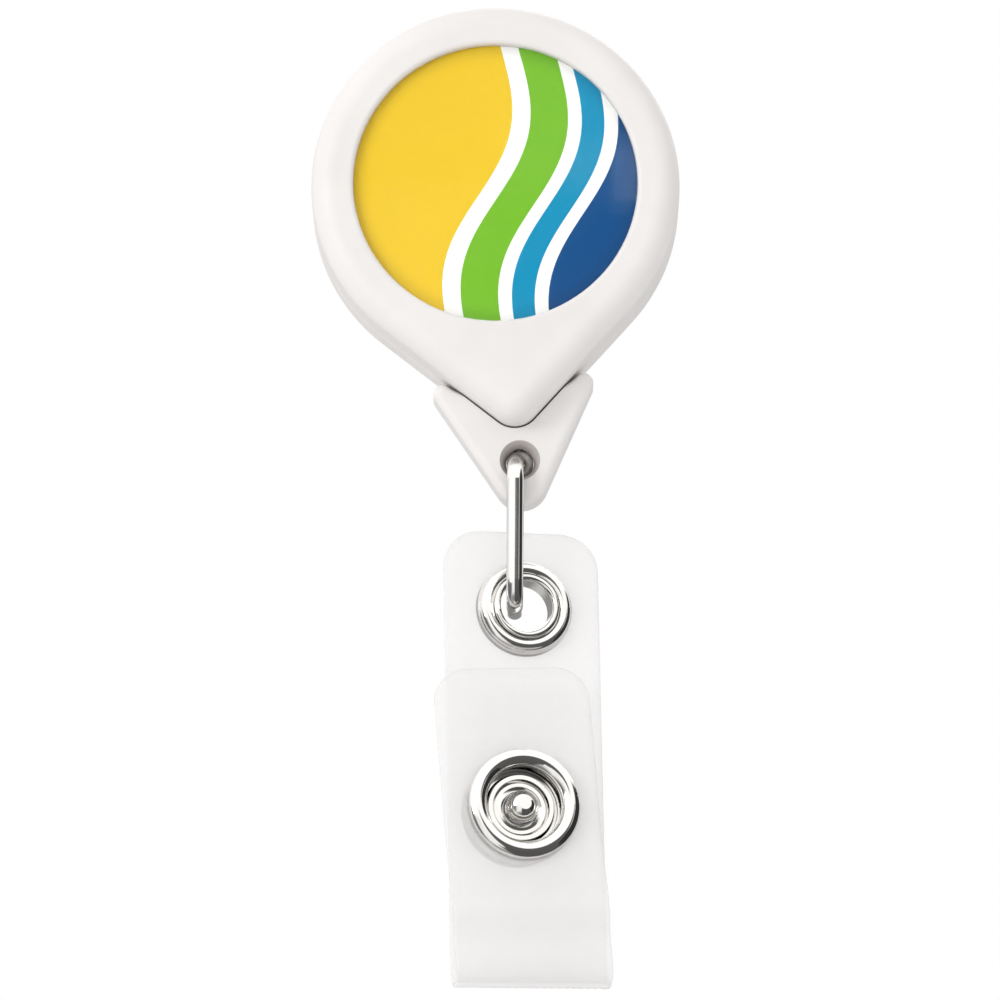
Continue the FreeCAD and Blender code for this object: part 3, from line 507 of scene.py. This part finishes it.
def make_label_lens():
    """The clear layer on the print: a shallow dome with a rounded rim."""
    foot, radius = LABEL_FRONT_Y - 0.01, LABEL_R - 0.01
    dome_r = radius - 0.05
    rise = LENS_EDGE_Y - LENS_TOP_Y
    ball = (radius ** 2 + rise ** 2) / (2 * rise)
    count, dome_steps = 160, 31
    # radius and Y, from the foot up round the rim
    stations = [(radius - 0.02, foot), (radius, foot - 0.02), (radius, LENS_EDGE_Y + 0.06),
                (radius - 0.012, LENS_EDGE_Y + 0.025), (dome_r, LENS_EDGE_Y)]
    for k in range(1, dome_steps):
        r = dome_r * (1 - k / dome_steps)
        stations.append((r, LENS_TOP_Y + ball - math.sqrt(ball * ball - r * r)))
    verts = [(x * MM, y * MM, z * MM) for r, y in stations for x, z in circle(0, 0, r, count)]
    faces = ring_faces(len(stations), count)
    last, top, bottom = len(verts) - count, len(verts), len(verts) + 1
    verts += [(0, LENS_TOP_Y * MM, 0), (0, foot * MM, 0)]
    for i in range(count):
        j = (i + 1) % count
        faces += [(last + i, last + j, top), (j, i, bottom)]
    obj = mesh_object("label_lens", verts, faces, [dome_mat])
    tidy(obj)
    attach(obj, "case")
    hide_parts("label_dome")


# ---------------------------------------------------------------- strap
# The strap's own frame: x across, v towards the back, w up, from the middle of its eyelet.
# In degrees: TILT about Y, YAW about Z, ROCK about X, and the link's own tilt.
TILT, YAW, ROCK, LINK_TILT = 5.06, 13.2, -5.0, 5.4
LINK_LENGTH = 12.66
HALF_W, THICK = 6.85, 0.45
TOP_CORNER_R, FLAP_CORNER_R = 3.3, 3.0
MID_X, FLAP_SHIFT = -0.2, -0.22     # middle of the back, and the flap's shift from it
TOP_W, FOLD_W, FLAP_W = 6.89, -33.78, -6.19
SKEW = math.radians(-3.6)           # how far the flap turns from the back
SNAP_X, SNAP_W = -1.19, -18.4
EYELET_HOLE_R, STUD_HOLE_R, FLAP_HOLE_R = 2.69, 0.76, 3.57
RIM = 0.11                          # width of the rounded border

strap_turn = (Matrix.Rotation(math.radians(TILT), 3, "Y")
              @ Matrix.Rotation(math.radians(YAW), 3, "Z")
              @ Matrix.Rotation(math.radians(ROCK), 3, "X"))
link_tilt = math.radians(LINK_TILT)
wire_low = Vector((WIRE_X - LINK_LENGTH * math.sin(link_tilt), CORD_Y,
                   WIRE_Z - LINK_LENGTH * math.cos(link_tilt)))
strap_origin = wire_low + strap_turn @ Vector((0.82, 0, -0.03))

# Side view of the sheet as (v, w): down the back, round the fold, up the flap
PATH = [(0.0, TOP_W), (0.0, 3.0), (0.0, -4.0), (0.0, -12.0), (0.0, SNAP_W)]
PATH += [(v, FOLD_W + above_fold) for v, above_fold in (
    (0.0, 10.8), (0.04, 8.0), (0.12, 5.0), (0.06, 2.5), (-0.34, 0.8), (-0.98, 0.13),
    (-1.6, 0.0), (-2.25, 0.12), (-2.95, 0.62), (-3.24, 1.5), (-3.30, 2.4), (-3.31, 3.2),
    (-3.32, 3.6), (-3.42, 4.2), (-3.76, 5.4), (-3.84, 5.8), (-3.83, 6.4), (-3.70, 8.4),
    (-3.48, 10.0), (-3.27, 12.0))]
PATH += [(-3.2, SNAP_W + 1.0), (-3.2, -14.0), (-3.14, -10.0), (-3.02, FLAP_W)]

side_line = catmull(PATH, per=24)
along = np.concatenate([[0], np.cumsum(np.hypot(*np.diff(side_line, axis=0).T))])
low_index = int(np.argmin(side_line[:, 1]))
S_END, S_LOW = along[-1], along[low_index]      # lengths to the flap's end and to the fold


def strap_world(x, v, w):
    return (strap_origin + strap_turn @ Vector((x, v, w))) * MM


def sheet_point(x, s):
    """Middle of the vinyl at x across and s along, in the strap's own frame."""
    v = np.interp(s, along, side_line[:, 0])
    w = np.interp(s, along, side_line[:, 1])
    k = np.clip((s - (S_LOW - 4.0)) / 8.0, 0, 1)
    k = k * k * (3 - 2 * k)
    turn = SKEW * k
    dw = w - FOLD_W
    return np.array([MID_X + FLAP_SHIFT * k + x * math.cos(turn) + dw * math.sin(turn), v,
                     FOLD_W - x * math.sin(turn) + dw * math.cos(turn)])


def sheet(x, s, height):
    """A point height off the middle of the vinyl, in metres in the world."""
    e = 0.06
    across = sheet_point(x + e, s) - sheet_point(x - e, s)
    down = sheet_point(x, min(s + e, S_END)) - sheet_point(x, max(s - e, 0))
    normal = np.cross(across, down)
    normal /= np.linalg.norm(normal)
    return strap_world(*(sheet_point(x, s) + normal * height))


def outline(inset):
    """The strap's flat outline; s runs from the top of the back to the end of the flap."""
    r0, r1 = TOP_CORNER_R, FLAP_CORNER_R
    straight, steps = S_END - r1 - r0, 120

    def corner(cx, cs, radius, start):
        angles = [start + math.pi / 2 * i / 10 for i in range(11)]
        return [(cx + (radius - inset) * math.cos(a), cs + (radius - inset) * math.sin(a))
                for a in angles]

    points = corner(-HALF_W + r0, r0, r0, math.pi)
    points += corner(HALF_W - r0, r0, r0, -math.pi / 2)
    points += [(HALF_W - inset, r0 + straight * i / steps) for i in range(1, steps)]
    points += corner(HALF_W - r1, S_END - r1, r1, 0)
    points += corner(-HALF_W + r1, S_END - r1, r1, math.pi / 2)
    points += [(inset - HALF_W, S_END - r1 - straight * i / steps) for i in range(1, steps)]
    return points


def past_corner(x, from_end, radius, margin):
    """Whether a point lies outside a rounded corner drawn in by margin."""
    beyond = abs(x) - (HALF_W - radius)
    return (from_end < radius and abs(x) > HALF_W - radius
            and math.hypot(beyond, radius - from_end) > radius - margin)


def sheet_grid(holes):
    """Staggered points inside the sheet, closer together round the fold."""
    points, row, columns, s = [], 0, 20, 0.55
    while s < S_END - 0.5:
        shift = 0.25 if row % 2 else -0.25
        for i in range(columns):
            x = -HALF_W + 0.5 + (2 * HALF_W - 1.0) * (i + shift + 0.5) / columns
            if past_corner(x, min(s, S_END - s), FLAP_CORNER_R, margin=0.35):
                continue
            if any(math.hypot(x - cx, s - cs) < r + RIM + 0.3 for cx, cs, r in holes):
                continue
            points.append(Vector((x, s)))
        s += 0.3 if abs(s - S_LOW) < 4 else 0.62
        row += 1
    return points


def in_sheet(p, holes):
    """Whether a point of the flat sheet lies within its border and clear of its holes."""
    if any(math.hypot(p.x - cx, p.y - cs) < r + RIM * 0.98 for cx, cs, r in holes):
        return False
    if abs(p.x) > HALF_W - RIM or p.y < RIM or p.y > S_END - RIM:
        return False
    return not (past_corner(p.x, p.y, TOP_CORNER_R, RIM)
                or past_corner(p.x, S_END - p.y, FLAP_CORNER_R, RIM))


def make_strap():
    # where the flap's middle line passes the snap
    dx, dw = SNAP_X - MID_X - FLAP_SHIFT, SNAP_W - FOLD_W
    flap_x = dx * math.cos(SKEW) - dw * math.sin(SKEW)
    flap_w = FOLD_W + dx * math.sin(SKEW) + dw * math.cos(SKEW)
    snap_s = float(np.interp(flap_w, side_line[low_index:, 1], along[low_index:]))
    # across, along, radius
    holes = [(-MID_X, TOP_W, EYELET_HOLE_R), (SNAP_X - MID_X, TOP_W - SNAP_W, STUD_HOLE_R),
             (flap_x, snap_s, FLAP_HOLE_R)]
    # each border as three loops: its edge, part way in, and where the flat sheet starts
    insets = (0.0, 0.03, RIM)
    borders = [[outline(inset) for inset in insets]]
    borders += [[circle(cx, cs, r + inset, 48) for inset in insets] for cx, cs, r in holes]
    points, edges, spans = [], [], []
    for _, _, flat_loop in borders:
        first, n = len(points), len(flat_loop)
        points += [Vector(p) for p in flat_loop]
        edges += [(first + i, first + (i + 1) % n) for i in range(n)]
        spans.append((first, n))
    points += sheet_grid(holes)
    verts, _, faces, origins, *_ = delaunay_2d_cdt(points, edges, [], 0, 1e-5)
    new_index = {k: i for i, origin in enumerate(origins) for k in origin}

    count = len(verts)
    solid = [sheet(p.x, p.y, h) for h in (THICK / 2, -THICK / 2) for p in verts]
    out = []
    for face in faces:
        a, b, c = (verts[i] for i in face)
        if not in_sheet(sum((a, b, c), Vector((0, 0))) / 3, holes):
            continue
        face = tuple(face) if (b - a).cross(c - a) > 0 else tuple(reversed(face))
        out += [face, tuple(i + count for i in reversed(face))]
    for (edge_loop, mid_loop, _), (first, n) in zip(borders, spans):
        rows = [[new_index[first + i] for i in range(n)]]
        for loop, height in ((mid_loop, 0.16), (edge_loop, 0.05),
                             (edge_loop, -0.05), (mid_loop, -0.16)):
            rows.append(list(range(len(solid), len(solid) + n)))
            solid += [sheet(x, s, height) for x, s in loop]
        rows.append([i + count for i in rows[0]])
        for a, b in zip(rows, rows[1:]):
            out += [(a[i], b[i], b[(i + 1) % n], a[(i + 1) % n]) for i in range(n)]
    obj = mesh_object("strap", solid, out, [vinyl_mat])
    tidy(obj)
    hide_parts("strap_back", "strap_flap")
    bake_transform(obj)


# ---------------------------------------------------------------- cord and knot
CORD_R = 0.375
LEAVE_R = 8.9 + 0.8 * 4     # the circle about the origin that the cord leaves at a tangent
BEND_Z, BEND_R = -17.7, 2.0     # where the slanting and upright runs would meet
CORD_END_Z = -22.93


def make_cord_run():
    """The cord from the spool, round a bend and straight down to the yoke."""
    lean = math.acos(LEAVE_R / -BEND_Z)
    start_x, start_z = LEAVE_R * math.sin(lean), -LEAVE_R * math.cos(lean)
    length = math.hypot(start_x, BEND_Z - start_z)
    ux, uz = -start_x / length, (BEND_Z - start_z) / length
    turn = math.acos(-uz)
    back = BEND_R * math.tan(turn / 2)
    path = []
    for i in range(13):
        run = (length - back) * i / 12
        path.append((start_x + ux * run, start_z + uz * run))
    for i in range(1, 9):
        a = math.pi - turn + turn * i / 8
        path.append((BEND_R + BEND_R * math.cos(a), BEND_Z - back + BEND_R * math.sin(a)))
    low_z = path[-1][1]
    path += [(0.0, low_z + (CORD_END_Z - low_z) * i / 60) for i in range(1, 61)]
    rings = []
    for i, (x, z) in enumerate(path):
        a, b = path[max(i - 1, 0)], path[min(i + 1, len(path) - 1)]
        d = Vector((b[0] - a[0], 0, b[1] - a[1])).normalized()
        side = Vector((-d.z, 0, d.x))
        rings.append(ring_about(Vector((x, CORD_Y, z)), side, Vector((0, 1, 0)), CORD_R, 20))
    obj = tube("cord_run", rings, cord_mat)
    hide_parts("cord_lead")
    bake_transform(obj)


def make_cord_knot():
    """Turns of cord drawn tight round the link's wire, filling the yoke's hole beside it."""
    wire_r, widest_gap = 0.755, 0.80
    edge_height, bulge_height, strand_height = 0.16, 0.42, 0.10
    count, steps = 120, 10
    grid = []       # x, z and half height
    for i in range(count):
        a = 2 * math.pi * i / count
        dx, dz = math.cos(a), math.sin(a)
        # how far along this direction the hole's wall is
        oz = WIRE_Z - YOKE_HOLE_Z
        dot = WIRE_X * dx + oz * dz
        far = -dot + math.sqrt(dot * dot - (WIRE_X * WIRE_X + oz * oz) + YOKE_HOLE_R ** 2)
        wide = (far - wire_r) / widest_gap
        for j in range(steps + 1):
            u = j / steps
            r = wire_r + (far - wire_r) * u
            height = edge_height + bulge_height * wide * math.sqrt(max(0.0, 1 - (2 * u - 1) ** 2))
            height += (strand_height * wide * abs(math.sin(2.5 * a + 5.0 * u))
                       * math.sin(math.pi * u))
            grid.append((WIRE_X + r * dx, WIRE_Z + r * dz, height))
    verts = [Vector((x, CORD_Y + sign * height, z)) * MM
             for sign in (-1, 1) for x, z, height in grid]
    offset = len(grid)
    faces = []
    for i in range(count):
        a, b = i * (steps + 1), (i + 1) % count * (steps + 1)
        for j in range(steps):
            quad = (a + j, b + j, b + j + 1, a + j + 1)
            faces += [quad, tuple(k + offset for k in reversed(quad))]
        for j in (0, steps):
            quad = (a + j, b + j, offset + b + j, offset + a + j)
            faces.append(quad if j else tuple(reversed(quad)))
    obj = mesh_object("cord_knot", verts, faces, [knot_mat])
    tidy(obj)
    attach(obj, "yoke")


# ---------------------------------------------------------------- clip spring
def make_clip_spring():
    """The clip's torsion spring, which winds as the jaw opens: a coil and two upward legs."""
    pin_y, pin_z = 3.6, 4.0
    coil_r, wire_r, pitch, turns, per_turn = 1.4, 0.3, 0.8, 4.5, 24
    start_x = -2.0
    end_x = start_x + pitch * turns
    leg_rise, leg_spread = 7.0, 0.05
    leg_steps = (0.2, 0.45, 0.72, 1.0)

    def leg(x, way, y, tip_y):
        return [Vector((x + way * leg_spread * f, y + (tip_y - y) * f, pin_z + leg_rise * f))
                for f in leg_steps]

    points = leg(start_x, -1, pin_y - coil_r, tip_y=1.47)[::-1]
    for i in range(int(turns * per_turn) + 1):
        a = 2 * math.pi * i / per_turn
        points.append(Vector((start_x + pitch * i / per_turn, pin_y - coil_r * math.cos(a),
                              pin_z - coil_r * math.sin(a))))
    points += leg(end_x, 1, pin_y + coil_r, tip_y=5.27)
    path = [Vector(p) for p in catmull(points, per=4)]
    side = Vector((1, 0, 0))
    rings = []
    for i, p in enumerate(path):
        d = (path[min(i + 1, len(path) - 1)] - path[max(i - 1, 0)]).normalized()
        side = (side - d * side.dot(d)).normalized()
        rings.append(ring_about(p, side, d.cross(side), wire_r, 14))
    obj = tube("clip_torsion_spring", rings, spring_steel)
    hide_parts("clip_spring")
    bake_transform(obj)


make_label_disc()
make_strap()
make_label_lens()
make_cord_run()
make_cord_knot()
make_clip_spring()

# ---------------------------------------------------------------- stage, in metres
FLOOR_HALF, FLOOR_Z = 30, -0.95


def make_floor():
    mesh = bpy.data.meshes.new("floor")
    corners = [(x * FLOOR_HALF, y * FLOOR_HALF, FLOOR_Z)
               for x, y in ((-1, -1), (1, -1), (1, 1), (-1, 1))]
    mesh.from_pydata(corners, [], [(0, 1, 2, 3)])
    material, graph = new_material("floor_pale")
    tone = graph.noise(graph.coords(), scale=1.5)
    graph.surface({
        "Base Color": graph.mix(tone, (0.955, 0.955, 0.955), (0.975, 0.975, 0.975)),
        "Roughness": 0.9,
    })
    mesh.materials.append(material)
    floor = link_object("floor", mesh)
    floor.visible_glossy = False


make_floor()

# The camera's own right, up and back directions also orient the studio round it
AZIMUTH, ELEVATION, ROLL = (math.radians(a) for a in (-1.0, -12.15, 5.15))
DISTANCE, FRAME_WIDTH, SENSOR_WIDTH = 0.75, 0.0872, 36
AIM_RIGHT, AIM_DOWN = 0.00039, 0.026675
cam_back = Vector((math.sin(AZIMUTH) * math.cos(ELEVATION),
                   -math.cos(AZIMUTH) * math.cos(ELEVATION), math.sin(ELEVATION)))
level_right = Vector((math.cos(AZIMUTH), math.sin(AZIMUTH), 0))
level_up = cam_back.cross(level_right).normalized()
cam_right = level_right * math.cos(ROLL) - level_up * math.sin(ROLL)
cam_up = level_right * math.sin(ROLL) + level_up * math.cos(ROLL)


def make_camera():
    target = Vector((0, -0.0046, 0)) + cam_right * AIM_RIGHT - cam_up * AIM_DOWN
    data = bpy.data.cameras.new("camera")
    data.sensor_width = SENSOR_WIDTH
    data.lens = SENSOR_WIDTH * DISTANCE / FRAME_WIDTH
    data.clip_start, data.clip_end = 0.01, 50
    camera = link_object("camera", data)
    axes = Matrix((cam_right, cam_up, cam_back)).transposed().to_4x4()
    camera.matrix_world = Matrix.Translation(target + cam_back * DISTANCE) @ axes
    scene.camera = camera
    scene.view_settings.view_transform = "Standard"
    scene.view_settings.look = "None"


def make_world():
    world = bpy.data.worlds.new("studio")
    scene.world = world
    world.use_nodes = True
    world.node_tree.nodes.clear()
    graph = Graph(world.node_tree)
    output = graph.add("ShaderNodeOutputWorld")
    direction = graph.add("ShaderNodeTexCoord").outputs["Generated"]

    def along_axis(axis):
        return graph.vector_math("DOT_PRODUCT", direction, axis).outputs["Value"]

    def above(value, start, end):
        """0 below start, 1 above end, smooth between."""
        return graph.remap(value, span=(start, end), smooth=True)

    def below(value, start, end):
        return graph.calc("SUBTRACT", 1.0, above(value, start, end))

    def least(*values):
        return reduce(lambda a, b: graph.calc("MINIMUM", a, b), values)

    def most(*values):
        return reduce(lambda a, b: graph.calc("MAXIMUM", a, b), values)

    def ramp(value, base, slope):
        return graph.calc("ADD", base, graph.calc("MULTIPLY", value, slope))

    def background(strength, tint=(1, 1, 1)):
        inputs = {"Color": tint, "Strength": strength}
        return graph.add("ShaderNodeBackground", inputs).outputs["Background"]

    def choose(factor, first, second):
        inputs = {"Fac": factor, 1: first, 2: second}
        return graph.add("ShaderNodeMixShader", inputs).outputs["Shader"]

    side, rise, front = (along_axis(axis) for axis in (cam_right, cam_up, cam_back))
    # What metal mirrors: a white ceiling with dark cards under it. Each card covers the
    # directions that meet all its limits, which are cosines where its edges start and end.
    ahead = above(front, -0.62, -0.40)
    right_card = least(above(side, -0.12, 0.02), below(rise, 0.40, 0.47), ahead,
                       most(below(side, 0.74, 0.84), below(rise, 0.16, 0.26)))
    tall_card = least(above(side, 0.80, 0.87), below(rise, 0.55, 0.75),
                      above(front, -0.45, -0.30))
    left_card = least(below(side, -0.80, -0.45), below(rise, 0.02, 0.22),
                      above(front, -0.60, -0.35))
    back_card = least(below(front, -0.78, -0.68), above(front, -0.985, -0.96),
                      below(rise, 0.10, 0.24))
    ground = least(below(rise, -0.75, -0.40), ahead)
    # each card with how much of the light it takes away
    cards = ((right_card, 0.90), (tall_card, 0.97), (left_card, 0.84),
             (back_card, 0.72), (ground, 0.70))
    dark = most(*(graph.calc("MULTIPLY", card, depth) for card, depth in cards))
    ceiling = ramp(rise, base=1.12, slope=0.22)
    mirror = graph.calc("MULTIPLY", ceiling, graph.calc("SUBTRACT", 1.0, dark))
    # what lights plain surfaces: soft all round, stronger from the left in front
    key = along_axis((cam_right * -0.58 - cam_up * 0.05 + cam_back * 0.81).normalized())
    soft = ramp(key, base=0.836, slope=0.24)
    rays = graph.add("ShaderNodeLightPath").outputs
    shade = choose(rays["Is Glossy Ray"], background(soft),
                   background(mirror, tint=(1.0, 0.99, 0.97)))
    # the backdrop: white behind the part, and the floor's own tone below the horizon
    backdrop = ramp(above(along_axis((0, 0, 1)), 0.01, 0.11), base=0.765, slope=0.235)
    seen = choose(rays["Is Camera Ray"], shade, background(backdrop))
    graph.feed(output.inputs["Surface"], seen)


def area_light(name, right, up, back, size, power):
    """A square light placed along the camera's axes, turned to the middle of the part."""
    data = bpy.data.lights.new(name, "AREA")
    data.energy = power
    data.size = size
    light = link_object(name, data)
    offset = cam_right * right + cam_up * up + cam_back * back
    light.location = Vector((0, 0, -0.02)) + offset
    light.rotation_mode = "QUATERNION"
    light.rotation_quaternion = (-offset).to_track_quat("-Z", "Y")


make_camera()
make_world()
area_light("key_light", right=-0.80, up=0.34, back=0.68, size=0.40, power=2.45)
area_light("back_light", right=0.3, up=0.5, back=-0.9, size=0.6, power=1.2)
